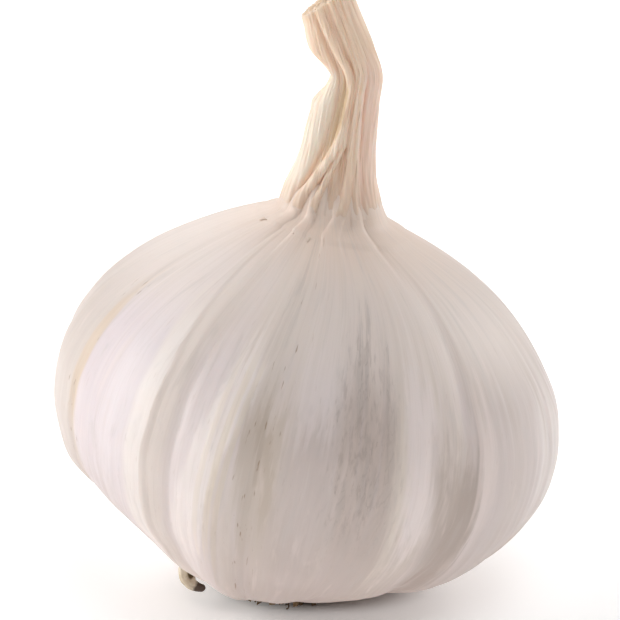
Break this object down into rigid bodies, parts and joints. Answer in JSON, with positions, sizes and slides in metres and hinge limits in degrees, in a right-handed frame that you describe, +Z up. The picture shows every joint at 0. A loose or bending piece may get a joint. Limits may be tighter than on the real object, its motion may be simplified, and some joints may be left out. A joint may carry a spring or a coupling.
{
  "type": "elephant garlic",
  "caption": "Whole head of elephant garlic in its papery skin, broad and lobed, with a dried pleated neck and trimmed roots, leaning as it rests.",
  "frame": {"origin": "on the ground in the flat spot of the trimmed roots, under the weight of the head", "axes": "+Z up as the head rests, front of the head towards -Y, leaning over towards +X"},
  "size_m": [0.1009, 0.1024, 0.1246],
  "materials": {
    "papery_skin": "satin, off-white with mauve and cream streaks",
    "corky_root": "rough, dry and fibrous"
  },
  "bodies": {
    "root": {"bulb": "papery_skin", "root_plate": "corky_root"}
  },
  "joints": []
}
